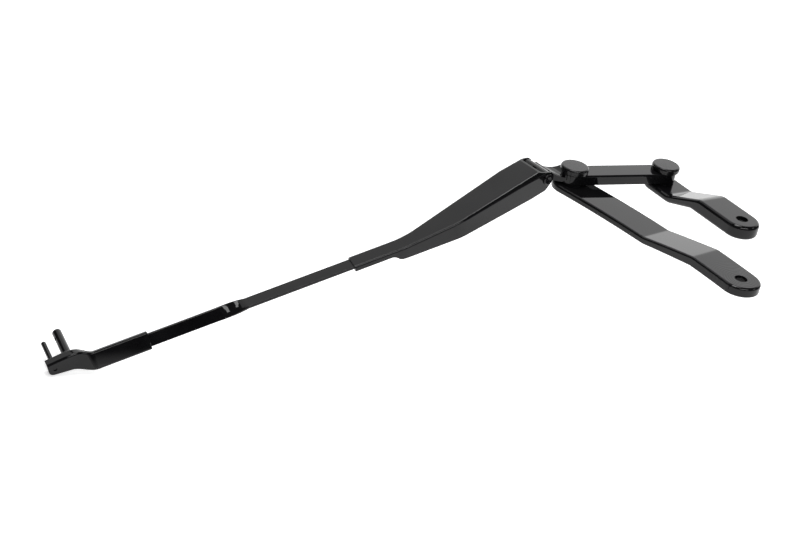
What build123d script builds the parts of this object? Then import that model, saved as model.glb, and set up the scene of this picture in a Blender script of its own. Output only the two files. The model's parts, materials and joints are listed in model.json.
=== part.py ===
from build123d import *
import os
from math import acos, atan2, cos, hypot, radians, sin, tan

os.makedirs("parts", exist_ok=True)

# Wiper arm on a four-bar linkage, in millimetres.
# The drive spindle's bore has its top face on the origin. The spindles point along +Z, the hinge lies
# along Y, and the arm runs towards -X, drooping to the stop where its spring holds it.

# Plan of the linkage, seen along the spindles
spindle_spacing = 104.0
spindle_heading = 41.3
drive_length = 199.0
drive_heading = 89.7
coupler_length = 92.4
coupler_heading = -18.4

# Levers: flat bars with a joggle between the bore and the pivot
pivot_level = -11.0
drive_width = 34.0
drive_thickness = 6.2
drive_bore_level = 0.0
drive_bore_thickness = 8.5
drive_bow = 5.3
drive_ramp_run = 55.5
drive_pivot_flat = 100.5
drive_under_lag = 0.0
drive_bend_radius = 14.0
drive_edge_radius = 2.3
drive_under_radius = 1.2
guide_width = 32.0
guide_thickness = 7.0
guide_bore_level = 4.0
guide_bore_thickness = 12.8
guide_ramp_run = 37.0434
guide_pivot_flat = 25.2
guide_under_lag = 8.0
guide_bend_radius = 14.0
guide_edge_radius = 3.2
guide_under_radius = 3.2

# Spindle bores: a plain land at the top and a cone that seats on the spindle
bore_land_radius = 5.4
bore_land_length = 3.4
cone_half_angle = 10.0

# Lever pivots
pin_radius = 5.0
pin_head_radius = 8.0
pin_head_height = 1.8
bush_wall = 1.0
running_gap = 0.03
seat_gap = 0.05
over = 1.0
washer_thickness = 0.8
thrust_washer_radius = 9.6
top_washer_radius = 8.2
ring_thickness = 1.0
ring_radius = 7.2
ring_groove_radius = 4.5
pin_end = 1.2
rivet_round = 0.6

# Coupler
bar_width = 21.0
bar_height = 9.0
boss_drop = 1.35
bar_edge_radius = 1.6
spigot_height = 1.6
spigot_wall = 0.9

# Pivot caps
cap_radius = 11.6
cap_height = 5.3
cap_wall = 1.5
cap_foot_height = 1.1
cap_foot_step = 0.5
cap_rim_radius = 1.5

# Arm hinge
hinge_reach = 29.2
hinge_offset = 17.0
hinge_level = -4.0
hinge_pin_radius = 3.5
hinge_head_radius = 5.2
hinge_head_height = 1.7
hinge_bush_wall = 1.0
hinge_bush_length = 8.5
barrel_radius = 6.2
hinge_side_gap = 0.3
scoop_radius = 14.0
scoop_depth = 4.6
neck_near_inset = 4.5
neck_far_inset = 3.0
neck_root_reach = 4.0
neck_root_turn = 205.0
neck_ear_gap = 1.5
neck_far_run = 2.0
arm_droop = 20.0

# Spring gear
hook_reach = 5.0
hook_drop = 7.0
hook_pin_radius = 2.0
hook_cheek_radius = 3.9
hook_cheek_width = 4.5
link_slot = 4.6
link_slot_reach = 3.0
link_swing_gap = 0.3
link_thickness = 4.0
link_width = 5.2
link_length = 24.0
link_end_radius = 3.6
link_eye_radius = 1.8
spring_wire = 2.2
spring_radius = 4.4
spring_turns = 17
spring_turn_gap = 0.7
spring_leg = 9.0
spring_end_turn = 0.25
joint_swell = 1.03
anchor_reach = 118.0
anchor_height = 2.5
anchor_radius = 2.0

# Arm channel, folded from sheet
sheet = 1.2
channel_width = 29.6
channel_rise = 10.7
channel_fold_radius = 2.2
hinge_fold_radius = 4.8
plate_setback = 8.0
ear_radius = 6.8
wall_drop = 10.6
wall_corner_radius = 4.0
wall_taper_start = 20.0
wall_break = 100.0
wall_break_drop = 5.8
wall_foot_setback = 3.5
wall_end = 157.0
wall_end_rise = -0.2
wall_step_run = 5.0
wall_bend_radius = 60.0
wall_end_radius = 7.0
taper_near = 98.0
taper_far = 30.0
taper_far_end = -4.0
plan_blend_radius = 80.0
waist_reach = 150.0
waist_offset = 0.6
rod_heading = 14.5
crimp_start = 18.0
crimp_end = 46.5
crimp_side_gap = 0.6
crimp_slot = 3.6

# Flat rod
rod_width = 11.6
rod_thickness = 2.8
rod_corner_radius = 0.8
rod_start = -4.0
twist_start = 141.0
twist_length = 26.0
twist_angle = 68.0
twist_steps = 6

# End fitting and blade pins
sleeve_start = 226.0
sleeve_length = 45.0
sleeve_wall = 1.3
sleeve_rim = 2.1
sleeve_corner_radius = 1.9
socket_depth = 38.0
neck_length = 22.0
neck_steps = 4
neck_swell = 2.0
head_length = 17.2
head_steps = 3
head_width = 8.8
head_root_depth = 15.6
head_depth = 12.0
head_lift = 8.0
head_shift = 1.8
head_corner_radius = 2.0
head_end_radius = 4.0
head_round_parts = (0, 0.5, 0.8, 0.95, 1)
small_pin_radius = 2.05
small_pin_length = 26.0
small_pin_setback = 5.6
large_pin_radius = 3.9
large_pin_length = 32.8
large_pin_spacing = 13.4
notch_depth = 0.9
notch_length = 3.0
notch_setback = 8.0
pin_end_radius = 0.9
spigot_ratio = 0.8
small_spigot_recess = 0.8
large_spigot_length = 6.0

# Places worked out from the sizes above


def polar(start, reach, heading):
    return (start[0] + reach * cos(radians(heading)), start[1] + reach * sin(radians(heading)))


drive_bore = (0.0, 0.0)
guide_bore = polar(drive_bore, spindle_spacing, spindle_heading)
drive_pivot = polar(drive_bore, drive_length, drive_heading)
guide_pivot = polar(drive_pivot, coupler_length, coupler_heading)
boss_bottom = pivot_level + washer_thickness + seat_gap
bar_bottom = boss_bottom + boss_drop
bar_top = bar_bottom + bar_height
bush_radius = pin_radius + running_gap + bush_wall
cap_bore = cap_radius - cap_foot_step - cap_wall
spigot_radius = cap_bore - seat_gap
hinge = (drive_pivot[0] - hinge_reach, drive_pivot[1] + hinge_offset, hinge_level)
hinge_bush_radius = hinge_pin_radius + running_gap + hinge_bush_wall
barrel_width = channel_width - 2 * sheet - 2 * hinge_side_gap
arm_place = Location(hinge, (0, -arm_droop, 0))
hook_place = (hinge[0] - hook_reach, hinge[1], hinge[2] - hook_drop)
cheeks = link_slot / 2 + hook_cheek_width
droop = radians(arm_droop)
anchor_place = (hinge[0] - anchor_reach * cos(droop) - anchor_height * sin(droop), hinge[1],
                hinge[2] - anchor_reach * sin(droop) + anchor_height * cos(droop))
pull = (Vector(anchor_place) - Vector(hook_place)).normalized()
pull_length = (Vector(anchor_place) - Vector(hook_place)).length
rod_level = channel_rise - sheet - rod_thickness / 2
crimp_half = rod_width / 2 + crimp_side_gap + sheet
turned = radians(rod_heading)
rod_end = sleeve_start + socket_depth
head_start = sleeve_start + sleeve_length + neck_length
head_end = head_start + head_length
small_pin_place = head_end - small_pin_setback
large_pin_place = small_pin_place - large_pin_spacing


def save(solid, name):
    shape = solid.solids()[0] if len(solid.solids()) == 1 else solid
    shape.label = name
    export_step(shape, f"parts/{name}.step")


def upright(centre, radius, bottom, top):
    place = Pos(centre[0], centre[1], (bottom + top) / 2)
    return place * Cylinder(radius, top - bottom)


def tube(centre, outer, inner, bottom, top):
    return upright(centre, outer, bottom, top) - upright(centre, inner, bottom - over, top + over)


def crosswise(x, z, radius, half_length, middle=0.0):
    return Pos(x, middle, z) * Rot(90, 0, 0) * Cylinder(radius, 2 * half_length)


def rim(solid, way):
    faces = [face for face in solid.faces() if face.normal_at().Z * way > 0.6]
    edges = [edge for face in faces for edge in face.edges()]
    return [edge for edge in edges if sum(edge.is_same(other) for other in edges) == 1]


# Levers


def lever(bore, pivot, bow, width, levels, flats, bend_radius, edge_radius, under_radius):
    bore_level, bore_thickness, thickness = levels
    ramp_run, under_lag, pivot_flat = flats
    along = (pivot[0] - bore[0], pivot[1] - bore[1])
    length = hypot(*along)
    ahead = (along[0] / length, along[1] / length)
    end = width
    foot = length - pivot_flat
    bore_flat = foot - ramp_run
    underside = bore_level - bore_thickness
    lean = tan(atan2(bore_level - pivot_level, ramp_run) / 2)
    top = FilletPolyline(
        (-end, bore_level), (bore_flat, bore_level), (foot, pivot_level), (length + end, pivot_level),
        radius=[bend_radius + thickness, bend_radius])
    under = FilletPolyline(
        (-end, underside), (bore_flat + under_lag, underside),
        (foot - thickness * lean, pivot_level - thickness), (length + end, pivot_level - thickness),
        radius=[bend_radius, bend_radius + thickness])
    ends = [Line(top @ 0, under @ 0), Line(top @ 1, under @ 1)]
    band = make_face(top.edges() + under.edges() + [line.edge() for line in ends])
    side = Plane(origin=(*bore, 0), x_dir=(*ahead, 0), z_dir=(ahead[1], -ahead[0], 0))
    strip = extrude(side * band, amount=width, both=True)
    middle = ((bore[0] + pivot[0]) / 2 + bow * ahead[1], (bore[1] + pivot[1]) / 2 - bow * ahead[0])
    line = ThreePointArc(bore, middle, pivot) if bow else Line(bore, pivot)
    tall = bore_level - pivot_level + thickness
    plan = extrude(SlotArc(line, width), amount=2 * tall + thickness)
    solid = strip & (Pos(0, 0, pivot_level - 2 * thickness) * plan)
    solid = fillet(rim(solid, 1), edge_radius)
    solid = fillet(rim(solid, -1), under_radius)
    cone_height = bore_thickness - bore_land_length
    cone_radius = bore_land_radius + cone_height * tan(radians(cone_half_angle))
    solid -= Pos(*bore, underside + cone_height / 2) * Cone(cone_radius, bore_land_radius, cone_height)
    solid -= upright(bore, bore_land_radius, underside + cone_height / 2, bore_level + over)
    solid -= upright(pivot, pin_radius, pivot_level - 2 * thickness, pivot_level + over)
    return solid


# Lever pivots


def pivot_pin(centre, thickness):
    under = pivot_level - thickness
    groove = bar_top + 2 * seat_gap + washer_thickness
    head = upright(centre, pin_head_radius, under - pin_head_height, under)
    lower = head.edges().filter_by(GeomType.CIRCLE).sort_by(Axis.Z)[:1]
    head = fillet(lower, pin_head_height * rivet_round)
    ring_top = groove + ring_thickness + seat_gap
    pin = head + upright(centre, pin_radius, under, ring_top + pin_end)
    pin = chamfer(pin.edges().filter_by(GeomType.CIRCLE).sort_by(Axis.Z)[-1:], pin_end / 3)
    return pin - tube(centre, pin_radius + over, ring_groove_radius, groove, ring_top)


def retaining_ring(centre):
    bottom = bar_top + 2 * seat_gap + washer_thickness
    ring = tube(centre, ring_radius, ring_groove_radius + seat_gap, bottom, bottom + ring_thickness)
    mouth = Box(ring_groove_radius, 2 * ring_radius, 4 * ring_thickness)
    return ring - Pos(centre[0], centre[1] - ring_radius, bottom) * mouth


def pivot_cap(centre):
    shape = upright(centre, cap_radius - cap_foot_step, bar_top, bar_top + cap_foot_height)
    crown = upright(centre, cap_radius, bar_top + cap_foot_height, bar_top + cap_height)
    shape += fillet(crown.edges().filter_by(GeomType.CIRCLE).sort_by(Axis.Z)[-1:], cap_rim_radius)
    return shape - upright(centre, cap_bore, bar_top - over, bar_top + cap_height - cap_wall)


# Coupler


def coupler():
    solid = extrude(SlotArc(Line(drive_pivot, guide_pivot), bar_width), amount=bar_height)
    solid = Pos(0, 0, bar_bottom) * solid
    across = coupler_heading + 90
    half = bar_width / 2
    far_root = polar(polar(drive_pivot, neck_root_reach, coupler_heading), half, across)
    near_root = polar(drive_pivot, half, across + 180)
    waist = polar(drive_pivot, half, coupler_heading + neck_root_turn)
    neck_near = hinge[1] - barrel_width / 2 + neck_near_inset
    neck_far = hinge[1] + barrel_width / 2 - neck_far_inset
    elbow = hinge[0] + ear_radius + neck_ear_gap
    neck = make_face(Polyline(
        far_root, (elbow + neck_far_run, neck_far), (hinge[0], neck_far), (hinge[0], neck_near),
        (elbow, neck_near), waist, near_root, close=True))
    neck_top = min(bar_top, hinge_level + barrel_radius)
    solid += Pos(0, 0, bar_bottom) * extrude(neck, amount=neck_top - bar_bottom)
    solid = fillet(rim(solid, 1), bar_edge_radius)
    scoop_x = (hinge[0] + barrel_radius + drive_pivot[0]) / 2
    scoop = crosswise(scoop_x, bar_top - scoop_depth + scoop_radius, scoop_radius, barrel_width, hinge[1])
    keep = upright(drive_pivot, half, bar_bottom, bar_top + scoop_radius)
    solid -= scoop - keep
    solid += crosswise(hinge[0], hinge[2], barrel_radius, barrel_width / 2, hinge[1])
    solid += crosswise(hook_place[0], hook_place[2], hook_cheek_radius, cheeks, hinge[1])
    gusset = SlotArc(Line((hinge[0], hinge[2]), (hook_place[0], hook_place[2])), 2 * hook_cheek_radius)
    middle = Plane(origin=(0, hinge[1], 0), x_dir=(1, 0, 0), z_dir=(0, -1, 0))
    solid += extrude(middle * gusset, amount=cheeks, both=True)
    for centre in (drive_pivot, guide_pivot):
        solid += upright(centre, half, boss_bottom, bar_bottom + over)
        spigot_bore = spigot_radius - spigot_wall
        solid += tube(centre, spigot_radius, spigot_bore, bar_top - over, bar_top + spigot_height)
        solid -= upright(centre, bush_radius, boss_bottom - over, bar_top + over)
    solid -= crosswise(hinge[0], hinge[2], hinge_bush_radius, barrel_width, hinge[1])
    room = hook_drop + barrel_radius + hook_cheek_radius
    slot = Box(3 * room, link_slot, 4 * room, align=(Align.MAX, Align.CENTER, Align.CENTER))
    solid -= Pos(hinge[0] - link_slot_reach, hinge[1], hinge[2]) * slot
    swing = hook_cheek_radius + link_swing_gap
    solid -= crosswise(hook_place[0], hook_place[2], swing, link_slot / 2, hinge[1])
    solid -= crosswise(hook_place[0], hook_place[2], hook_pin_radius, cheeks + over, hinge[1])
    return solid


# Arm, built along -X with its hinge on the origin, then set at the hinge with its droop


def on_rod(along, far=0.0, up=0.0):
    return (-waist_reach - along * cos(turned) + far * sin(turned),
            waist_offset + along * sin(turned) + far * cos(turned), rod_level + up)


def across_rod(along, turn=0.0, far=0.0, up=0.0):
    near = Vector(-sin(turned), -cos(turned), 0) * cos(radians(turn)) - Vector(0, 0, 1) * sin(radians(turn))
    return Plane(origin=on_rod(along, far, up), x_dir=near, z_dir=(-cos(turned), sin(turned), 0))


def bar(start, end, turn, width, thickness, radius):
    return extrude(across_rod(start, turn) * RectangleRounded(width, thickness, radius), amount=end - start)


def touch(point, radius, way):
    heading = atan2(point[1], point[0]) + way * acos(radius / hypot(*point))
    return (radius * cos(heading), radius * sin(heading))


def channel_plan(inset, start, stop):
    half = channel_width / 2 - inset
    crimp = crimp_half - inset
    near = FilletPolyline((-start, -half), (-taper_near, -half), on_rod(0, -crimp)[:2],
                          on_rod(stop, -crimp)[:2], radius=plan_blend_radius)
    far = FilletPolyline((-start, half), (-taper_far, half), on_rod(taper_far_end, crimp)[:2],
                         on_rod(stop, crimp)[:2], radius=plan_blend_radius)
    ends = [Line(near @ 0, far @ 0).edge(), Line(near @ 1, far @ 1).edge()]
    return make_face(near.edges() + far.edges() + ends)


def channel_walls():
    back = -on_rod(crimp_end + sheet, -crimp_half)[0]
    lip = rod_level - rod_thickness / 2 - sheet
    plate_corner = (-plate_setback, channel_rise)
    foot = (-wall_foot_setback, -wall_drop)
    upper = Polyline(touch(plate_corner, ear_radius, -1), plate_corner, (-back, channel_rise), (-back, lip))
    lower = FilletPolyline(
        (-back, lip), (-wall_end - wall_step_run, lip), (-wall_end, wall_end_rise),
        (-wall_break, -wall_break_drop), (-wall_taper_start, -wall_drop), foot, touch(foot, ear_radius, 1),
        radius=[wall_end_radius, wall_end_radius, wall_bend_radius, wall_bend_radius, wall_corner_radius])
    closing = Line(lower @ 1, upper @ 0).edge()
    side = make_face(upper.edges() + lower.edges() + [closing]) + Circle(ear_radius)
    upright_plane = Plane(origin=(0, 0, 0), x_dir=(1, 0, 0), z_dir=(0, -1, 0))
    return extrude(upright_plane * side, amount=waist_reach, both=True)


def folds(solid):
    edges = solid.faces().sort_by(Axis.Z)[-1].edges()
    return [edge for edge in edges if abs((edge % 0.5).Y) < 0.7]


def fold_taper(way, inset, stop):
    sections = []
    for along, radius in ((-3 * ear_radius, hinge_fold_radius), (stop, channel_fold_radius)):
        bend = radius - inset
        wall = channel_width / 2 - inset
        top = channel_rise - inset
        slack = bend * (1 - sin(radians(45)))
        low = (way * wall, top - bend)
        high = (way * (wall - bend), top)
        arc = ThreePointArc(low, (way * (wall - slack), top - slack), high)
        rest = Polyline(high, (way * (wall - bend), top + sheet), (way * (wall + sheet), top + sheet),
                        (way * (wall + sheet), top - bend), low)
        across = Plane(origin=(-along, 0, 0), x_dir=(0, 1, 0), z_dir=(1, 0, 0))
        sections.append(across * make_face(arc.edges() + rest.edges()))
    return loft(sections, ruled=True)


def folded(solid, inset):
    solid = fillet(folds(solid), channel_fold_radius - inset)
    for way, stop in ((-1, taper_near), (1, taper_far)):
        solid -= fold_taper(way, inset, stop)
    return solid


def arm_channel():
    block = extrude(channel_plan(0, -2 * ear_radius, crimp_end), amount=channel_rise + wall_drop)
    shell = folded((Pos(0, 0, -wall_drop) * block) & channel_walls(), 0)
    depth = channel_rise - sheet + 2 * wall_drop
    hollow = extrude(channel_plan(sheet, -3 * ear_radius, crimp_start), amount=depth)
    shell -= folded(Pos(0, 0, -2 * wall_drop) * hollow, sheet)
    pocket_width = rod_width + 2 * seat_gap
    shell -= bar(crimp_start - over, crimp_end + over, 0, pocket_width, rod_thickness, rod_corner_radius)
    gap = across_rod(crimp_start - over, 0, 0, -rod_thickness) * Rectangle(crimp_slot, 2 * rod_thickness)
    shell -= extrude(gap, amount=crimp_end - crimp_start + 2 * over)
    shell -= crosswise(0, 0, hinge_pin_radius, channel_width)
    shell -= crosswise(-anchor_reach, anchor_height, anchor_radius, channel_width)
    return shell


def hinge_pin():
    half = channel_width / 2
    pin = crosswise(0, 0, hinge_pin_radius, half + hinge_head_height / 2)
    for way in (-1, 1):
        middle = way * (half + hinge_head_height / 2)
        head = crosswise(0, 0, hinge_head_radius, hinge_head_height / 2, middle)
        outer = head.edges().filter_by(GeomType.CIRCLE).sort_by(Axis.Y)[-1 if way > 0 else 0]
        pin += fillet(outer, hinge_head_height * rivet_round)
    return pin


def spring_anchor():
    wide = extrude(channel_plan(0, 0, crimp_end), amount=channel_rise)
    return crosswise(-anchor_reach, anchor_height, anchor_radius, channel_width) & wide


def flat_rod():
    rod = bar(rod_start, twist_start, 0, rod_width, rod_thickness, rod_corner_radius)
    section = RectangleRounded(rod_width, rod_thickness, rod_corner_radius)
    sections = []
    for step in range(twist_steps + 1):
        part = step / twist_steps
        sections.append(across_rod(twist_start + twist_length * part, twist_angle * part) * section)
    rod += loft(sections)
    twisted = twist_start + twist_length
    return rod + bar(twisted, rod_end, twist_angle, rod_width, rod_thickness, rod_corner_radius)


def blade_pin(along, radius, length, spigot):
    start = on_rod(along, head_shift + head_width / 2, head_lift)
    place = Plane(origin=start, x_dir=(-cos(turned), sin(turned), 0), z_dir=(sin(turned), cos(turned), 0))
    pin = extrude(place * Circle(radius), amount=length)
    tip = pin.edges().filter_by(GeomType.CIRCLE).sort_by(Axis.Y)[-1]
    return fillet(tip, pin_end_radius) + extrude(place * Circle(radius * spigot_ratio), amount=-spigot)


def notched_pin(along, radius, length, spigot):
    reach = head_shift + head_width / 2 + length - notch_setback - notch_length / 2
    place = across_rod(along + radius - notch_depth, 0, reach, head_lift)
    notch = extrude(place * Rectangle(notch_length, 2 * radius), amount=radius)
    return blade_pin(along, radius, length, spigot) - notch


def head_section(along):
    depth = head_root_depth + (head_depth - head_root_depth) * (along - head_start) / head_length
    turn = max(0, 1 - (head_end - along) / head_end_radius)
    rise = head_end_radius * (1 - (1 - turn * turn) ** 0.5)
    place = across_rod(along, 90, head_shift, head_lift + rise / 2)
    return place * RectangleRounded(depth - rise, head_width, head_corner_radius)


def end_fitting():
    width = rod_width + 2 * sleeve_rim
    thickness = rod_thickness + 2 * sleeve_wall
    sleeve_end = sleeve_start + sleeve_length
    body = bar(sleeve_start, sleeve_end, twist_angle, width, thickness, sleeve_corner_radius)
    sections = []
    for step in range(neck_steps + 1):
        part = step / neck_steps
        ease = part * part * (3 - 2 * part)
        swell = neck_swell * 4 * part * (1 - part)
        shape = RectangleRounded(width + (head_root_depth - width) * ease + swell,
                                 thickness + (head_width - thickness) * ease,
                                 sleeve_corner_radius + (head_corner_radius - sleeve_corner_radius) * ease)
        turn = twist_angle + (90 - twist_angle) * ease
        lift = head_lift * ease + swell / 2
        place = across_rod(sleeve_end + neck_length * part, turn, head_shift * ease, lift)
        sections.append(place * shape)
    round_start = head_end - head_end_radius
    for step in range(head_steps):
        sections.append(head_section(head_start + (round_start - head_start) * (step + 1) / head_steps))
    body += loft(sections)
    stops = [round_start + head_end_radius * part for part in head_round_parts]
    body += loft([head_section(stop) for stop in stops], ruled=True)
    body -= bar(sleeve_start - over, rod_end, twist_angle, rod_width, rod_thickness, rod_corner_radius)
    body -= blade_pin(small_pin_place, small_pin_radius, small_pin_length, head_width + over)
    body -= blade_pin(large_pin_place, large_pin_radius, large_pin_length, large_spigot_length)
    return body


# Spring gear, lying along the line from the hook pin to the anchor


def along_pull(distance):
    return Vector(hook_place) + pull * distance


def pull_plane(distance):
    return Plane(origin=along_pull(distance), x_dir=(0, 1, 0), z_dir=pull)


def spring_link():
    flank = Plane(origin=hook_place, x_dir=pull, z_dir=(0, -1, 0))
    outline = Circle(hook_cheek_radius) + Pos(link_length, 0) * Circle(link_end_radius)
    outline += Pos(link_length / 2, 0) * Rectangle(link_length, link_width)
    outline -= Circle(hook_pin_radius + seat_gap)
    outline -= Pos(link_length, 0) * Circle(link_eye_radius)
    return extrude(flank * outline, amount=link_thickness / 2, both=True)


def tension_spring():
    wire = spring_wire / 2
    pitch = spring_wire + spring_turn_gap
    inner = spring_radius - wire
    sag = inner - (inner ** 2 - (link_thickness / 2) ** 2) ** 0.5
    front = link_length + link_eye_radius - wire - sag - seat_gap + spring_radius
    rear = pull_length + anchor_radius + seat_gap + wire - spring_radius
    coil_length = (spring_turns + spring_end_turn) * pitch
    coil_start = front + spring_leg
    coil_end = coil_start + coil_length
    base = pull_plane(coil_start)
    path = base * Helix(pitch, coil_length, spring_radius)
    first = Plane(origin=path @ 0, z_dir=path % 0)
    spring = sweep(first * Circle(wire), path, is_frenet=True)
    hooks = [(front, coil_start, path @ 0), (rear, coil_end, path @ 1)]
    for bend, coil, joint in hooks:
        side = (joint - along_pull(coil)).normalized()
        leg = Plane(origin=along_pull(min(bend, coil)) + side * spring_radius, z_dir=pull)
        spring += extrude(leg * Circle(wire), amount=abs(bend - coil))
        spring += Location(joint) * Sphere(wire * joint_swell)
        outward = pull * (1 if bend > coil else -1)
        turn = Plane(origin=along_pull(bend), x_dir=side, z_dir=side.cross(outward))
        spring += turn * Torus(spring_radius, wire, major_angle=180, align=None)
    return spring


drive_levels = (drive_bore_level, drive_bore_thickness, drive_thickness)
drive_flats = (drive_ramp_run, drive_under_lag, drive_pivot_flat)
save(lever(drive_bore, drive_pivot, drive_bow, drive_width, drive_levels, drive_flats,
           drive_bend_radius, drive_edge_radius, drive_under_radius), "drive_arm")
guide_levels = (guide_bore_level, guide_bore_thickness, guide_thickness)
guide_flats = (guide_ramp_run, guide_under_lag, guide_pivot_flat)
save(lever(guide_bore, guide_pivot, 0, guide_width, guide_levels, guide_flats,
           guide_bend_radius, guide_edge_radius, guide_under_radius), "guide_arm")
save(coupler(), "coupler")
pivots = (("drive", drive_pivot, drive_thickness), ("guide", guide_pivot, guide_thickness))
for name, centre, thickness in pivots:
    save(pivot_pin(centre, thickness), f"{name}_pivot_pin")
    save(tube(centre, bush_radius, pin_radius + running_gap, boss_bottom, bar_top), f"{name}_pivot_bush")
    washer_bore = pin_radius + seat_gap
    washer_top = pivot_level + washer_thickness
    save(tube(centre, thrust_washer_radius, washer_bore, pivot_level, washer_top), f"{name}_thrust_washer")
    washer_seat = bar_top + seat_gap
    washer_top = washer_seat + washer_thickness
    save(tube(centre, top_washer_radius, washer_bore, washer_seat, washer_top), f"{name}_top_washer")
    save(retaining_ring(centre), f"{name}_retaining_ring")
    save(pivot_cap(centre), f"{name}_pivot_cap")
save(arm_place * arm_channel(), "arm_channel")
save(arm_place * hinge_pin(), "hinge_pin")
save(arm_place * spring_anchor(), "spring_anchor")
save(arm_place * flat_rod(), "flat_rod")
save(arm_place * end_fitting(), "end_fitting")
small_pin = blade_pin(small_pin_place, small_pin_radius, small_pin_length, head_width - small_spigot_recess)
save(arm_place * small_pin, "small_blade_pin")
large_pin = notched_pin(large_pin_place, large_pin_radius, large_pin_length, large_spigot_length)
save(arm_place * large_pin, "large_blade_pin")
for name, way in (("near", -1), ("far", 1)):
    middle = hinge[1] + way * (barrel_width - hinge_bush_length) / 2
    bush = crosswise(hinge[0], hinge[2], hinge_bush_radius, hinge_bush_length / 2, middle)
    bush -= crosswise(hinge[0], hinge[2], hinge_pin_radius + running_gap, barrel_width, middle)
    save(bush, f"hinge_bush_{name}")
save(crosswise(hook_place[0], hook_place[2], hook_pin_radius, cheeks, hinge[1]), "hook_pin")
save(spring_link(), "spring_link")
save(tension_spring(), "tension_spring")
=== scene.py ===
import bpy
import bmesh
import json
import math
from mathutils import Matrix, Vector


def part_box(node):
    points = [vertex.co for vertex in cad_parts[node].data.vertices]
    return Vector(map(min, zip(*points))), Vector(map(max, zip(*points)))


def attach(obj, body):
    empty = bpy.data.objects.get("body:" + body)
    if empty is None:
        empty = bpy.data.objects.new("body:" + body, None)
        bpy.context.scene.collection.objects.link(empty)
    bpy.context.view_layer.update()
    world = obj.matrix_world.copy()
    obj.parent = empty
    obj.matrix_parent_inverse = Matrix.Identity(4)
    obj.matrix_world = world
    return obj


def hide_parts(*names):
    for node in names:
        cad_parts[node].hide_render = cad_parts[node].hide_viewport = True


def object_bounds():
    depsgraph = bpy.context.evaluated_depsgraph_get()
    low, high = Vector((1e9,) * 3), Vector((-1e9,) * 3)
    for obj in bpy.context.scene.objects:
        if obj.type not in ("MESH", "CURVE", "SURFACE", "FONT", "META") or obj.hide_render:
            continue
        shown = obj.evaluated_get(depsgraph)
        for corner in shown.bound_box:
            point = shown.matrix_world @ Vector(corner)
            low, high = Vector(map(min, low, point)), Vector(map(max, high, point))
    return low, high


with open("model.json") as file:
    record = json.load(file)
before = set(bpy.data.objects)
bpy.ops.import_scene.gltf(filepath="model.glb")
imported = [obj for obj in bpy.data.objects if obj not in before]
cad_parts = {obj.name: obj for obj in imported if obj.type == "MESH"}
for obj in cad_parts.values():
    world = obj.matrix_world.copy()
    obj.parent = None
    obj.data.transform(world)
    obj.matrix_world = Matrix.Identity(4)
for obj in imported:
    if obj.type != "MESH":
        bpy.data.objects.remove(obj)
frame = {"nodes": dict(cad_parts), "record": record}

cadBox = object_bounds()
nodes = frame["nodes"]
record = frame["record"]
bodyOf = {node: body for body, members in record["behaviour"]["bodies"].items() for node in members}
slotOf = {row["node"]: row["material_slot"] for row in record["subparts"]}
mountPlace = {mount["name"]: Vector(mount["pos_m"]) for mount in record["mounts"]}
mm = 0.001
print("frame loaded:", len(nodes), "nodes")


# Small helpers

def middleOf(node):
    low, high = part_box(node)
    return (low + high) / 2


def linkUp(obj):
    bpy.context.scene.collection.objects.link(obj)
    return obj


def plainMesh(obj, name):
    graph = bpy.context.evaluated_depsgraph_get()
    made = bpy.data.meshes.new_from_object(obj.evaluated_get(graph), depsgraph=graph)
    made.name = name
    obj.modifiers.clear()
    piece = linkUp(bpy.data.objects.new(name, made))
    bpy.data.objects.remove(obj)
    return piece


def meshOf(shape, name):
    mesh = bpy.data.meshes.new(name)
    shape.to_mesh(mesh)
    shape.free()
    return mesh


def bridge(shape, hoops):
    for one, other in zip(hoops, hoops[1:]):
        sides = max(len(one), len(other))
        for i in range(sides):
            j = (i + 1) % sides
            corners = [one[i % len(one)], one[j % len(one)], other[j % len(other)], other[i % len(other)]]
            shape.faces.new(list(dict.fromkeys(corners)))  # a hoop of one point gives triangles


# Finishes

noiseSpan = (0.3, 0.7)  # nearly all of the noise lies between these


def newFinish(name):
    material = bpy.data.materials.new(name)
    material.use_nodes = True
    shader = material.node_tree.nodes["Principled BSDF"]
    return material, material.node_tree, shader


def grain(tree, size, detail=2.0):
    place = tree.nodes.new("ShaderNodeTexCoord")
    noise = tree.nodes.new("ShaderNodeTexNoise")
    noise.inputs["Scale"].default_value = 1 / size
    noise.inputs["Detail"].default_value = detail
    tree.links.new(place.outputs["Object"], noise.inputs["Vector"])
    return noise.outputs["Fac"]


def spread(tree, value, low, high):
    ramp = tree.nodes.new("ShaderNodeMapRange")
    ramp.inputs["From Min"].default_value, ramp.inputs["From Max"].default_value = noiseSpan
    ramp.inputs["To Min"].default_value = low
    ramp.inputs["To Max"].default_value = high
    tree.links.new(value, ramp.inputs["Value"])
    return ramp.outputs["Result"]


def shades(tree, value, low, high):
    mix = tree.nodes.new("ShaderNodeMix")
    mix.data_type = "RGBA"
    mix.inputs["A"].default_value = (*low, 1)
    mix.inputs["B"].default_value = (*high, 1)
    tree.links.new(value, mix.inputs["Factor"])
    return mix.outputs["Result"]


def tinted(tree, shader, value, look):
    colour = shades(tree, spread(tree, value, 0, 1), look["dark"], look["light"])
    tree.links.new(colour, shader.inputs["Base Color"])


def polished(tree, shader, value, look):
    tree.links.new(spread(tree, value, *look["gloss"]), shader.inputs["Roughness"])


def dents(tree, value, height, strength, after=None):
    bump = tree.nodes.new("ShaderNodeBump")
    bump.inputs["Distance"].default_value = height
    bump.inputs["Strength"].default_value = strength
    tree.links.new(value, bump.inputs["Height"])
    if after:
        tree.links.new(after, bump.inputs["Normal"])
    return bump.outputs["Normal"]


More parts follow.
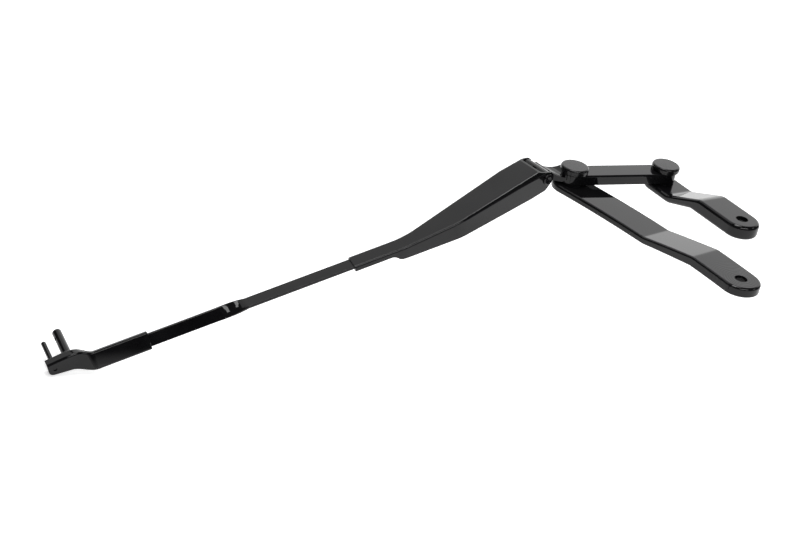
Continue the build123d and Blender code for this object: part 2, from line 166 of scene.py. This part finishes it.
def rings(tree, look):
    place = tree.nodes.new("ShaderNodeTexCoord")
    level = tree.nodes.new("ShaderNodeVectorMath")
    level.operation = "MULTIPLY"
    level.inputs[1].default_value = (1, 1, 0)
    reach = tree.nodes.new("ShaderNodeVectorMath")
    reach.operation = "LENGTH"
    wave = tree.nodes.new("ShaderNodeMath")
    wave.operation = "SINE"
    count = tree.nodes.new("ShaderNodeMath")
    count.operation = "MULTIPLY"
    count.inputs[1].default_value = 2 * math.pi / look["ringStep"]
    fade = tree.nodes.new("ShaderNodeMapRange")
    fade.interpolation_type = "SMOOTHSTEP"
    fade.inputs["From Min"].default_value = look["ringReach"]
    fade.inputs["From Max"].default_value = look["ringReach"] / 2
    marks = tree.nodes.new("ShaderNodeMath")
    marks.operation = "MULTIPLY"
    tree.links.new(place.outputs["Object"], level.inputs[0])
    tree.links.new(level.outputs["Vector"], reach.inputs[0])
    tree.links.new(reach.outputs["Value"], count.inputs[0])
    tree.links.new(count.outputs["Value"], wave.inputs[0])
    tree.links.new(reach.outputs["Value"], fade.inputs["Value"])
    tree.links.new(wave.outputs["Value"], marks.inputs[0])
    tree.links.new(fade.outputs["Result"], marks.inputs[1])
    return marks.outputs["Value"]


paint = {"dark": (0.0035, 0.0035, 0.004), "light": (0.007, 0.007, 0.0075), "gloss": (0.02, 0.05),
         "index": 1.34, "peelSize": 2.2 * mm, "peelHeight": 0.02 * mm, "peelStrength": 0.05,
         "hazeSize": 28 * mm, "hazeDetail": 4, "ringStep": 2.3 * mm, "ringReach": 34 * mm,
         "ringHeight": 0.03 * mm, "ringStrength": 1.0}


def glossPaint(name, faced=False):
    material, tree, shader = newFinish(name)
    haze = grain(tree, paint["hazeSize"], paint["hazeDetail"])
    peel = grain(tree, paint["peelSize"])
    tinted(tree, shader, haze, paint)
    polished(tree, shader, haze, paint)
    surface = dents(tree, peel, paint["peelHeight"], paint["peelStrength"])
    if faced:  # turning marks round the spindle bore show through the paint
        surface = dents(tree, rings(tree, paint), paint["ringHeight"], paint["ringStrength"], surface)
    tree.links.new(surface, shader.inputs["Normal"])
    shader.inputs["IOR"].default_value = paint["index"]
    return material


moulding = {"dark": (0.004, 0.004, 0.0045), "light": (0.008, 0.008, 0.0085), "gloss": (0.14, 0.22),
            "index": 1.36, "grainSize": 0.5 * mm, "grainHeight": 0.03 * mm, "grainStrength": 0.15,
            "flowSize": 9 * mm, "flowDetail": 3}


def capMoulding():
    material, tree, shader = newFinish("capMoulding")
    flow = grain(tree, moulding["flowSize"], moulding["flowDetail"])
    fine = grain(tree, moulding["grainSize"])
    tinted(tree, shader, flow, moulding)
    polished(tree, shader, fine, moulding)
    surface = dents(tree, fine, moulding["grainHeight"], moulding["grainStrength"])
    tree.links.new(surface, shader.inputs["Normal"])
    shader.inputs["IOR"].default_value = moulding["index"]
    return material


nylon = {"dark": (0.02, 0.02, 0.021), "light": (0.032, 0.032, 0.034), "gloss": (0.4, 0.55),
         "flowSize": 3 * mm, "flowDetail": 3}


def bearingNylon():
    material, tree, shader = newFinish("bearingNylon")
    flow = grain(tree, nylon["flowSize"], nylon["flowDetail"])
    tinted(tree, shader, flow, nylon)
    polished(tree, shader, flow, nylon)
    return material


metals = {
    "turnedSteel": {"dark": (0.36, 0.36, 0.37), "light": (0.5, 0.5, 0.51), "gloss": (0.22, 0.4),
                    "markSize": 1.2 * mm, "markHeight": 0.02 * mm},
    "sinteredBronze": {"dark": (0.36, 0.22, 0.09), "light": (0.52, 0.34, 0.15), "gloss": (0.35, 0.55),
                       "markSize": 0.4 * mm, "markHeight": 0.04 * mm},
    "platedWire": {"dark": (0.26, 0.26, 0.27), "light": (0.36, 0.36, 0.37), "gloss": (0.25, 0.38),
                   "markSize": 2 * mm, "markHeight": 0.01 * mm}}
toolMarks = {"detail": 6, "strength": 0.3}


def metalFinish(name):
    look = metals[name]
    material, tree, shader = newFinish(name)
    marks = grain(tree, look["markSize"], toolMarks["detail"])
    tinted(tree, shader, marks, look)
    polished(tree, shader, marks, look)
    tree.links.new(dents(tree, marks, look["markHeight"], toolMarks["strength"]), shader.inputs["Normal"])
    shader.inputs["Metallic"].default_value = 1.0
    return material


finishes = {"black_paint": glossPaint("glossPaint"), "cap_plastic": capMoulding(),
            "bearing_plastic": bearingNylon(), "steel": metalFinish("turnedSteel"),
            "bronze": metalFinish("sinteredBronze"), "spring_steel": metalFinish("platedWire")}
ownFinish = {"drive_arm": glossPaint("facedPaint", faced=True)}
print("finishes made:", len(finishes) + len(ownFinish))


# Geometry Nodes trees

def newTree(name, sizes):
    tree = bpy.data.node_groups.new(name, "GeometryNodeTree")
    tree.interface.new_socket("Geometry", in_out="INPUT", socket_type="NodeSocketGeometry")
    for label, (kind, value) in sizes.items():
        socket = tree.interface.new_socket(label, in_out="INPUT", socket_type=kind)
        socket.default_value = value
    tree.interface.new_socket("Geometry", in_out="OUTPUT", socket_type="NodeSocketGeometry")
    return tree, tree.nodes.new("NodeGroupInput"), tree.nodes.new("NodeGroupOutput")


def setInput(modifier, label, value):
    for socket in modifier.node_group.interface.items_tree:
        if socket.in_out == "INPUT" and socket.name == label:
            modifier[socket.identifier] = value


def closeTree(tree, shape, ending, material):
    realize = tree.nodes.new("GeometryNodeRealizeInstances")
    smooth = tree.nodes.new("GeometryNodeSetShadeSmooth")
    coat = tree.nodes.new("GeometryNodeSetMaterial")
    coat.inputs["Material"].default_value = material
    tree.links.new(shape, smooth.inputs["Geometry"])
    tree.links.new(smooth.outputs["Geometry"], realize.inputs["Geometry"])
    tree.links.new(realize.outputs["Geometry"], coat.inputs["Geometry"])
    tree.links.new(coat.outputs["Geometry"], ending.inputs["Geometry"])


# Serrations and dimples: what is cut out of a piece before it gets its finish

serration = {"teeth": 36, "bore": 5.4 * mm, "root": 0.6 * mm, "halfWidth": 0.4 * mm, "inside": 0.4 * mm,
             "lip": 0.7 * mm, "depth": 9 * mm}


def teethTree():
    tree, start, ending = newTree("teethRoundBore", {"Teeth": ("NodeSocketInt", serration["teeth"])})
    spots = tree.nodes.new("GeometryNodePoints")
    number = tree.nodes.new("GeometryNodeInputIndex")
    share = tree.nodes.new("ShaderNodeMath")
    share.operation = "DIVIDE"
    turn = tree.nodes.new("ShaderNodeMath")
    turn.operation = "MULTIPLY"
    turn.inputs[1].default_value = 2 * math.pi
    around = tree.nodes.new("ShaderNodeCombineXYZ")
    row = tree.nodes.new("GeometryNodeInstanceOnPoints")
    tree.links.new(start.outputs["Teeth"], spots.inputs["Count"])
    tree.links.new(number.outputs["Index"], share.inputs[0])
    tree.links.new(start.outputs["Teeth"], share.inputs[1])
    tree.links.new(share.outputs["Value"], turn.inputs[0])
    tree.links.new(turn.outputs["Value"], around.inputs["Z"])
    tree.links.new(spots.outputs["Points"], row.inputs["Points"])
    tree.links.new(start.outputs["Geometry"], row.inputs["Instance"])
    tree.links.new(around.outputs["Vector"], row.inputs["Rotation"])
    closeTree(tree, row.outputs["Instances"], ending, finishes["black_paint"])
    return tree


def boreTeeth(top):
    low, high = -serration["depth"], -serration["lip"]
    inner, outer = serration["bore"] - serration["inside"], serration["bore"] + serration["root"]
    half = serration["halfWidth"]
    mesh = bpy.data.meshes.new("boreTooth")
    corners = [(x, y, z) for z in (low, high) for x, y in ((inner, -half), (outer, 0), (inner, half))]
    mesh.from_pydata(corners, [], [(2, 1, 0), (3, 4, 5), (0, 1, 4, 3), (1, 2, 5, 4), (2, 0, 3, 5)])
    tooth = linkUp(bpy.data.objects.new("boreTooth", mesh))
    modifier = tooth.modifiers.new("teeth", "NODES")
    modifier.node_group = teethTree()
    setInput(modifier, "Teeth", serration["teeth"])
    cutter = plainMesh(tooth, "boreTeeth")
    cutter.data.transform(Matrix.Translation(top))
    return cutter


dimple = {"coneRadius": 5.8 * mm, "coneHeight": 5.2 * mm, "sides": 40}  # a cone half sunk in each end


def headDimples(node):
    low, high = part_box(node)
    middle = middleOf(node)
    shape = bmesh.new()
    for face, way in ((low.y, -1), (high.y, 1)):
        turn = Matrix.Rotation(way * math.pi / 2, 4, "X")
        place = Matrix.Translation(Vector((middle.x, face, middle.z))) @ turn
        bmesh.ops.create_cone(shape, cap_ends=True, segments=dimple["sides"], radius1=dimple["coneRadius"],
                              radius2=0.0, depth=dimple["coneHeight"], matrix=place)
    return linkUp(bpy.data.objects.new("headDimples", meshOf(shape, "headDimples")))


# Solid pieces: the frame's own shapes with joined faces and even normals

solidLook = {"joinDistance": 0.002 * mm, "sharpAngle": math.radians(28), "normalWeight": 50}


def cutFrom(mesh, cutter, name):
    rough = linkUp(bpy.data.objects.new(name, mesh))
    cut = rough.modifiers.new("cut", "BOOLEAN")
    cut.operation = "DIFFERENCE"
    cut.solver = "EXACT"
    cut.object = cutter
    piece = plainMesh(rough, name)
    mesh = piece.data
    bpy.data.objects.remove(piece)
    bpy.data.objects.remove(cutter)
    return mesh


def finishPiece(mesh, node, name):
    mesh.materials.clear()
    mesh.materials.append(ownFinish.get(node, finishes[slotOf[node]]))
    mesh.shade_smooth()
    mesh.set_sharp_from_angle(angle=solidLook["sharpAngle"])
    rough = linkUp(bpy.data.objects.new(name + "Rough", mesh))
    even = rough.modifiers.new("evenNormals", "WEIGHTED_NORMAL")
    even.keep_sharp = True
    even.weight = solidLook["normalWeight"]
    piece = plainMesh(rough, name)
    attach(piece, bodyOf[node])
    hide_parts(node)


def dressed(node, name, cutter=None):
    mesh = nodes[node].data.copy()
    mesh.name = name
    shape = bmesh.new()
    shape.from_mesh(mesh)
    bmesh.ops.remove_doubles(shape, verts=shape.verts, dist=solidLook["joinDistance"])
    shape.to_mesh(mesh)
    shape.free()
    if "custom_normal" in mesh.attributes:
        mesh.attributes.remove(mesh.attributes["custom_normal"])
    if cutter:
        mesh = cutFrom(mesh, cutter, name)
    finishPiece(mesh, node, name)


ownName = {"coupler": "couplerCasting"}  # the frame's own object is called coupler


def plainName(node):
    first, *rest = node.split("_")
    return ownName.get(node, first + "".join(word.capitalize() for word in rest))


def boreTop(node, mount):
    return Vector((mountPlace[mount].x, mountPlace[mount].y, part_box(node)[1].z))


cutters = {"drive_arm": boreTeeth(boreTop("drive_arm", "drive_spindle_bore")),
           "guide_arm": boreTeeth(boreTop("guide_arm", "guide_spindle_bore")),
           "hinge_pin": headDimples("hinge_pin")}
drawnAnew = {"tension_spring", "end_fitting", "drive_pivot_cap", "guide_pivot_cap"}
for node in sorted(nodes):
    if node not in drawnAnew:
        dressed(node, plainName(node), cutters.get(node))
print("solid pieces dressed:", len(nodes) - len(drawnAnew))


# Pivot caps: a crown with a soft edge over a slightly smaller foot, hollow below

cap = {"crown": 12.7 * mm, "edge": 2.0 * mm, "edgeSteps": 8, "foot": 12.1 * mm, "footHeight": 1.1 * mm,
       "groove": 11.7 * mm, "grooveHeight": 0.35 * mm, "bore": 9.6 * mm, "wall": 1.5 * mm, "sides": 80}


def lathe(name, outline, centre, sides):
    shape = bmesh.new()
    turns = [2 * math.pi * step / sides for step in range(sides)]
    hoops = []
    for radius, height in outline:
        spots = [Vector((radius * math.cos(turn), radius * math.sin(turn), height)) for turn in turns]
        if radius == 0:
            spots = spots[:1]
        hoops.append([shape.verts.new(centre + spot) for spot in spots])
    bridge(shape, hoops)
    bmesh.ops.recalc_face_normals(shape, faces=shape.faces)
    return meshOf(shape, name)


def pivotCap(node):
    low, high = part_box(node)
    tall = high.z - low.z
    outline = [(0, tall)]
    for step in range(cap["edgeSteps"] + 1):
        turn = math.pi / 2 * step / cap["edgeSteps"]
        outline.append((cap["crown"] - cap["edge"] * (1 - math.sin(turn)),
                        tall - cap["edge"] * (1 - math.cos(turn))))
    grooveTop = cap["footHeight"] + cap["grooveHeight"]
    outline += [(cap["crown"], grooveTop), (cap["groove"], grooveTop), (cap["groove"], cap["footHeight"]),
                (cap["foot"], cap["footHeight"]), (cap["foot"], 0), (cap["bore"], 0),
                (cap["bore"], tall - cap["wall"]), (0, tall - cap["wall"])]
    middle = middleOf(node)
    mesh = lathe(plainName(node), outline, Vector((middle.x, middle.y, low.z)), cap["sides"])
    finishPiece(mesh, node, plainName(node))


for node in ("drive_pivot_cap", "guide_pivot_cap"):
    pivotCap(node)
print("pivot caps turned")


# Tension spring: one wire that follows hook, leg, coil, leg and hook

spring = {"wire": 2.2 * mm, "radius": 4.4 * mm, "turns": 17.25, "pitch": 2.9 * mm, "leg": 9.0 * mm,
          "linkReach": 24.0 * mm, "eye": 1.8 * mm, "anchorRadius": 2.0 * mm, "gap": 0.05 * mm,
          "linkHalf": 2.0 * mm, "turnSteps": 28, "ringSteps": 18, "legSteps": 10, "wireSides": 16,
          "bendReach": 6, "bendPasses": 14}


def springPath():
    hook, anchor = middleOf("hook_pin"), middleOf("spring_anchor")
    pull = anchor - hook
    pullLength = pull.length
    pull.normalize()
    sideways = Vector((0, 1, 0))
    upward = pull.cross(sideways)
    radius, wire = spring["radius"], spring["wire"] / 2
    inner = radius - wire
    sag = inner - math.sqrt(inner ** 2 - spring["linkHalf"] ** 2)
    front = spring["linkReach"] + spring["eye"] - wire - sag - spring["gap"] + radius
    rear = pullLength + spring["anchorRadius"] + spring["gap"] + wire - radius
    coilStart = front + spring["leg"]

    def at(distance, angle, reach=radius):
        side = sideways * math.cos(angle) + upward * math.sin(angle)
        return hook + pull * distance + side * reach

    points = []
    for step in range(spring["ringSteps"] + 1):
        angle = math.pi * (1 - step / spring["ringSteps"])
        points.append(at(front - radius * math.sin(angle), 0, radius * math.cos(angle)))
    for step in range(1, spring["legSteps"]):
        points.append(at(front + spring["leg"] * step / spring["legSteps"], 0))
    corners = [len(points)]
    steps = round(spring["turns"] * spring["turnSteps"])
    for step in range(steps + 1):
        share = step / steps
        points.append(at(coilStart + share * spring["turns"] * spring["pitch"],
                         share * spring["turns"] * 2 * math.pi))
    last = spring["turns"] * 2 * math.pi
    coilEnd = coilStart + spring["turns"] * spring["pitch"]
    corners.append(len(points) - 1)
    for step in range(1, spring["legSteps"]):
        points.append(at(coilEnd + (rear - coilEnd) * step / spring["legSteps"], last))
    for step in range(spring["ringSteps"] + 1):
        angle = math.pi * step / spring["ringSteps"]
        points.append(at(rear + radius * math.sin(angle), last, radius * math.cos(angle)))
    for corner in corners:  # the wire leaves the coil in a bend, not in a kink
        for _ in range(spring["bendPasses"]):
            span = range(corner - spring["bendReach"], corner + spring["bendReach"] + 1)
            eased = [(points[i - 1] + points[i] * 2 + points[i + 1]) / 4 for i in span]
            for i, place in zip(span, eased):
                points[i] = place
    return points


def wireTree():
    tree, start, ending = newTree("wireAlongPath", {
        "Wire Radius": ("NodeSocketFloat", spring["wire"] / 2),
        "Wire Sides": ("NodeSocketInt", spring["wireSides"])})
    ring = tree.nodes.new("GeometryNodeCurvePrimitiveCircle")
    sweep = tree.nodes.new("GeometryNodeCurveToMesh")
    sweep.inputs["Fill Caps"].default_value = True
    tree.links.new(start.outputs["Wire Radius"], ring.inputs["Radius"])
    tree.links.new(start.outputs["Wire Sides"], ring.inputs["Resolution"])
    tree.links.new(start.outputs["Geometry"], sweep.inputs["Curve"])
    tree.links.new(ring.outputs["Curve"], sweep.inputs["Profile Curve"])
    closeTree(tree, sweep.outputs["Mesh"], ending, finishes["spring_steel"])
    return tree


def tensionSpring():
    line = bpy.data.curves.new("springLine", "CURVE")
    line.dimensions = "3D"
    points = springPath()
    run = line.splines.new("POLY")
    run.points.add(len(points) - 1)
    for point, place in zip(run.points, points):
        point.co = (*place, 1)
    rough = linkUp(bpy.data.objects.new("springLine", line))
    modifier = rough.modifiers.new("wire", "NODES")
    modifier.node_group = wireTree()
    setInput(modifier, "Wire Radius", spring["wire"] / 2)
    setInput(modifier, "Wire Sides", spring["wireSides"])
    piece = plainMesh(rough, "tensionSpring")
    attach(piece, bodyOf["tension_spring"])
    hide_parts("tension_spring")


tensionSpring()
print("tension spring drawn")


# End fitting: one skin from the sleeve round the rod to the head that carries the blade pins

# Lengths in mm and angles in degrees; a size is (width, thickness, corner radius)
# and a pin is (distance from the tip, radius, depth of its hole)
fitting = {"droop": 20.0, "heading": 14.5, "waistReach": 150.0, "waistOffset": 0.6, "rodLevel": 8.1,
           "rodSize": (11.6, 2.8, 0.8), "socket": 38.0, "sleeveStart": 226.0, "sleeve": 45.0,
           "sleeveSize": (15.8, 5.4, 1.9), "sleeveTurn": 68.0, "bevel": 0.35, "neck": 22.0, "head": 17.2,
           "headRoot": 15.6, "headTip": 12.0, "headWidth": 8.8, "headCorner": 2.0, "headRound": 4.0,
           "lift": 8.0, "shift": 1.8, "swell": 2.0, "neckSteps": 26, "headSteps": 10, "roundSteps": 8,
           "cornerSteps": 6, "smallPin": (5.6, 1.64, 9.5), "largePin": (19.0, 3.12, 6.0), "holeSides": 32}


def fittingPlace(along, far, up, turn):
    heading, droop = math.radians(fitting["heading"]), math.radians(fitting["droop"])
    ahead = Vector((-math.cos(heading), math.sin(heading), 0))
    away = Vector((math.sin(heading), math.cos(heading), 0))
    spot = Vector((-fitting["waistReach"], fitting["waistOffset"], fitting["rodLevel"]))
    spot += ahead * along + away * far + Vector((0, 0, up))
    near = -away * math.cos(math.radians(turn)) - Vector((0, 0, 1)) * math.sin(math.radians(turn))
    tilt = Matrix.Rotation(-droop, 3, "Y")
    hinge = middleOf("hinge_pin")
    return hinge + tilt @ (spot * mm), tilt @ near, tilt @ ahead


def fittingRing(shape, along, size, turn, far=0.0, up=0.0):
    wide, thick, corner = size
    centre, across, ahead = fittingPlace(along, far, up, turn)
    through = ahead.cross(across)
    outline = []
    middles = [(1, 1, 0), (-1, 1, 90), (-1, -1, 180), (1, -1, 270)]
    for x, y, start in middles:
        for step in range(fitting["cornerSteps"] + 1):
            angle = math.radians(start + 90 * step / fitting["cornerSteps"])
            outline.append((x * (wide / 2 - corner) + corner * math.cos(angle),
                            y * (thick / 2 - corner) + corner * math.sin(angle)))
    return [shape.verts.new(centre + (across * x + through * y) * mm) for x, y in outline]


def fittingRings(shape):
    sleeveEnd = fitting["sleeveStart"] + fitting["sleeve"]
    headStart = sleeveEnd + fitting["neck"]
    roundStart = headStart + fitting["head"] - fitting["headRound"]
    wide, thick, corner = fitting["sleeveSize"]
    bevel, turn = fitting["bevel"], fitting["sleeveTurn"]
    start = fitting["sleeveStart"]
    hoops = [fittingRing(shape, start + fitting["socket"], fitting["rodSize"], turn),
             fittingRing(shape, start, fitting["rodSize"], turn),
             fittingRing(shape, start, (wide - 2 * bevel, thick - 2 * bevel, corner - bevel), turn),
             fittingRing(shape, start + bevel, fitting["sleeveSize"], turn)]
    for step in range(fitting["neckSteps"] + 1):
        part = step / fitting["neckSteps"]
        ease = part * part * (3 - 2 * part)
        swell = fitting["swell"] * math.sin(math.pi * part) ** 2
        size = (wide + (fitting["headRoot"] - wide) * ease + swell,
                thick + (fitting["headWidth"] - thick) * ease,
                corner + (fitting["headCorner"] - corner) * ease)
        hoops.append(fittingRing(shape, sleeveEnd + fitting["neck"] * part, size, turn + (90 - turn) * ease,
                                 fitting["shift"] * ease, fitting["lift"] * ease + swell / 2))
    stops = [headStart + (roundStart - headStart) * (step + 1) / fitting["headSteps"]
             for step in range(fitting["headSteps"])]
    stops += [roundStart + fitting["headRound"] * math.sin(math.pi / 2 * (step + 1) / fitting["roundSteps"])
              for step in range(fitting["roundSteps"])]
    for stop in stops:
        share = (stop - headStart) / fitting["head"]
        depth = fitting["headRoot"] + (fitting["headTip"] - fitting["headRoot"]) * share
        over = max(0.0, (stop - roundStart) / fitting["headRound"])
        rise = fitting["headRound"] * (1 - math.sqrt(max(0.0, 1 - over * over)))
        size = (depth - rise, fitting["headWidth"], fitting["headCorner"])
        hoops.append(fittingRing(shape, stop, size, 90, fitting["shift"], fitting["lift"] + rise / 2))
    return hoops


def pinHoles():
    shape = bmesh.new()
    headEnd = fitting["sleeveStart"] + fitting["sleeve"] + fitting["neck"] + fitting["head"]
    for back, radius, depth in (fitting["smallPin"], fitting["largePin"]):
        far = fitting["shift"] + fitting["headWidth"] / 2
        centre, across, _ = fittingPlace(headEnd - back, far, fitting["lift"], 0)
        place = Matrix.Translation(centre) @ (-across).to_track_quat("Z", "Y").to_matrix().to_4x4()
        bmesh.ops.create_cone(shape, cap_ends=True, segments=fitting["holeSides"], radius1=radius * mm,
                              radius2=radius * mm, depth=2 * depth * mm, matrix=place)
    return linkUp(bpy.data.objects.new("pinHoles", meshOf(shape, "pinHoles")))


def endFitting():
    shape = bmesh.new()
    hoops = fittingRings(shape)
    bridge(shape, hoops)
    shape.faces.new(hoops[0][::-1])
    shape.faces.new(hoops[-1])
    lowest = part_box("end_fitting")[0].z
    for corner in shape.verts:  # the neck's smooth skin stays inside the solid's box
        corner.co.z = max(corner.co.z, lowest)
    bmesh.ops.recalc_face_normals(shape, faces=shape.faces)
    mesh = cutFrom(meshOf(shape, "endFitting"), pinHoles(), "endFitting")
    finishPiece(mesh, "end_fitting", "endFitting")


endFitting()
print("end fitting drawn")


# Stage, light and camera

stage = {"size": 12.0, "gap": 0.3 * mm, "shade": (0.86, 0.86, 0.86), "glow": 0.6, "roughness": 0.9,
         "wallRadius": 5.5, "wallHeight": 6.0, "wallSides": 64, "wallGlow": 0.72}
floorLevel = cadBox[0].z - stage["gap"]


def glowing(name, shade, glow):
    material, tree, shader = newFinish(name)
    shader.inputs["Base Color"].default_value = (*shade, 1)
    shader.inputs["Emission Color"].default_value = (1, 1, 1, 1)
    shader.inputs["Emission Strength"].default_value = glow
    return material, tree, shader


def dulled(shader):
    shader.inputs["Roughness"].default_value = stage["roughness"]
    shader.inputs["Specular IOR Level"].default_value = 0.0


def paleFloor():
    half = stage["size"] / 2
    mesh = bpy.data.meshes.new("paleFloor")
    corners = [(x * half, y * half, floorLevel) for x, y in ((-1, -1), (1, -1), (1, 1), (-1, 1))]
    mesh.from_pydata(corners, [], [(0, 1, 2, 3)])
    material, _, shader = glowing("paleFloor", stage["shade"], stage["glow"])
    dulled(shader)
    mesh.materials.append(material)
    linkUp(bpy.data.objects.new("paleFloor", mesh))


# What is there for one kind of ray alone: the wall for the camera, the card for reflections
def seenOnlyBy(thing, kind):
    for ray in ("camera", "diffuse", "glossy", "transmission", "volume_scatter", "shadow"):
        setattr(thing, "visible_" + ray, ray == kind)


def paleWall():
    radius, sides = stage["wallRadius"], stage["wallSides"]
    turns = [2 * math.pi * step / sides for step in range(sides)]
    foot = [(radius * math.cos(turn), radius * math.sin(turn), floorLevel) for turn in turns]
    top = [(x, y, z + stage["wallHeight"]) for x, y, z in foot]
    faces = [((i + 1) % sides, i, i + sides, (i + 1) % sides + sides) for i in range(sides)]
    mesh = bpy.data.meshes.new("paleWall")
    mesh.from_pydata(foot + top, [], faces)
    mesh.materials.append(glowing("paleWall", stage["shade"], stage["wallGlow"])[0])
    seenOnlyBy(linkUp(bpy.data.objects.new("paleWall", mesh)), "camera")


# A dark card before the outer end of the arm, seen in reflections alone: it paints a dark reflection on the
# rod and the sleeve, and its foot glows like the floor
card = {"middle": (-0.6, 0.08), "width": 0.7, "height": 0.1, "shade": (0.004, 0.004, 0.004),
        "footGlow": 1.0, "fade": 0.016}


def darkCard():
    foot = Vector((*card["middle"], cadBox[0].z))
    across = Vector((card["width"] / 2, 0, 0))
    top = foot + Vector((0, 0, card["height"]))
    mesh = bpy.data.meshes.new("darkCard")
    mesh.from_pydata([foot - across, foot + across, top + across, top - across], [], [(0, 1, 2, 3)])
    material, tree, shader = glowing("darkCard", card["shade"], 0.0)
    dulled(shader)
    place = tree.nodes.new("ShaderNodeTexCoord")
    parts = tree.nodes.new("ShaderNodeSeparateXYZ")
    fade = tree.nodes.new("ShaderNodeMapRange")  # the card's foot glows with a painted glow that fades upwards, so the card melts into the floor in the reflections
    fade.interpolation_type = "SMOOTHSTEP"
    fade.inputs["From Min"].default_value = foot.z
    fade.inputs["From Max"].default_value = foot.z + card["fade"]
    fade.inputs["To Min"].default_value = card["footGlow"]
    fade.inputs["To Max"].default_value = 0.0
    tree.links.new(place.outputs["Object"], parts.inputs[0])
    tree.links.new(parts.outputs["Z"], fade.inputs["Value"])
    tree.links.new(fade.outputs["Result"], shader.inputs["Emission Strength"])
    mesh.materials.append(material)
    seenOnlyBy(linkUp(bpy.data.objects.new("darkCard", mesh)), "glossy")


# Soft boxes: the way to each one from the object, how large and how bright
lights = {"middle": (-0.05, 0.12, -0.02), "far": 2.2, "room": 0.06, "boxes": {
    "lowBack": {"azimuth": 45, "elevation": 9, "size": (4.4, 0.75), "shine": 1.9},
    "highBack": {"azimuth": 45, "elevation": 31, "size": (4.4, 0.95), "shine": 1.5},
    "overhead": {"azimuth": 75, "elevation": 56, "size": (2.6, 1.3), "shine": 1.15},
    "sideSpark": {"azimuth": -36, "elevation": 37, "size": (0.5, 0.2), "shine": 6.0},
    "frontSpark": {"azimuth": -107, "elevation": 44, "size": (1.6, 0.5), "shine": 8.0},
    "topSpark": {"azimuth": 100, "elevation": 83, "size": (1.6, 0.55), "shine": 8.0}}}


def softBox(name, look):
    light = bpy.data.lights.new(name, "AREA")
    light.shape = "RECTANGLE"
    light.size, light.size_y = look["size"]
    light.energy = look["shine"] * math.pi * light.size * light.size_y
    turn, lift = math.radians(look["azimuth"]), math.radians(look["elevation"])
    way = Vector((math.cos(turn) * math.cos(lift), math.sin(turn) * math.cos(lift), math.sin(lift)))
    box = linkUp(bpy.data.objects.new(name, light))
    box.location = Vector(lights["middle"]) + way * lights["far"]
    box.rotation_mode = "QUATERNION"
    box.rotation_quaternion = (-way).to_track_quat("-Z", "Y")


def studioLight():
    for name, look in lights["boxes"].items():
        softBox(name, look)
    world = bpy.data.worlds.new("dimRoom")
    bpy.context.scene.world = world
    world.use_nodes = True
    sky = world.node_tree.nodes["Background"]
    sky.inputs["Color"].default_value = (1, 1, 1, 1)
    sky.inputs["Strength"].default_value = lights["room"]
    bpy.context.scene.view_settings.view_transform = "Standard"


# The photo's own view; the focal length and the width are in its pixels
photo = {"azimuth": -45.0, "elevation": 28.45, "roll": 11.35, "distance": 1449.5 * mm,
         "aim": (-259.7 * mm, 126.6 * mm, 0.0), "focal": 1889.0, "width": 800, "sensor": 36.0,
         "clipEnd": 50.0}


def photoCamera():
    lens = bpy.data.cameras.new("photoCamera")
    lens.sensor_width = photo["sensor"]
    lens.lens = photo["focal"] / photo["width"] * photo["sensor"]
    lens.clip_end = photo["clipEnd"]
    camera = linkUp(bpy.data.objects.new("photoCamera", lens))
    turn, lift = math.radians(photo["azimuth"]), math.radians(photo["elevation"])
    back = Vector((math.sin(turn) * math.cos(lift), -math.cos(turn) * math.cos(lift), math.sin(lift)))
    right = Vector((0, 0, 1)).cross(back).normalized()
    up = back.cross(right)
    roll = math.radians(photo["roll"])
    rolledRight = right * math.cos(roll) + up * math.sin(roll)
    rolledUp = up * math.cos(roll) - right * math.sin(roll)
    camera.rotation_mode = "QUATERNION"
    camera.rotation_quaternion = Matrix((rolledRight, rolledUp, back)).transposed().to_quaternion()
    camera.location = Vector(photo["aim"]) + back * photo["distance"]
    bpy.context.scene.camera = camera


paleFloor()
paleWall()
darkCard()
studioLight()
photoCamera()
print("stage, light and camera set")
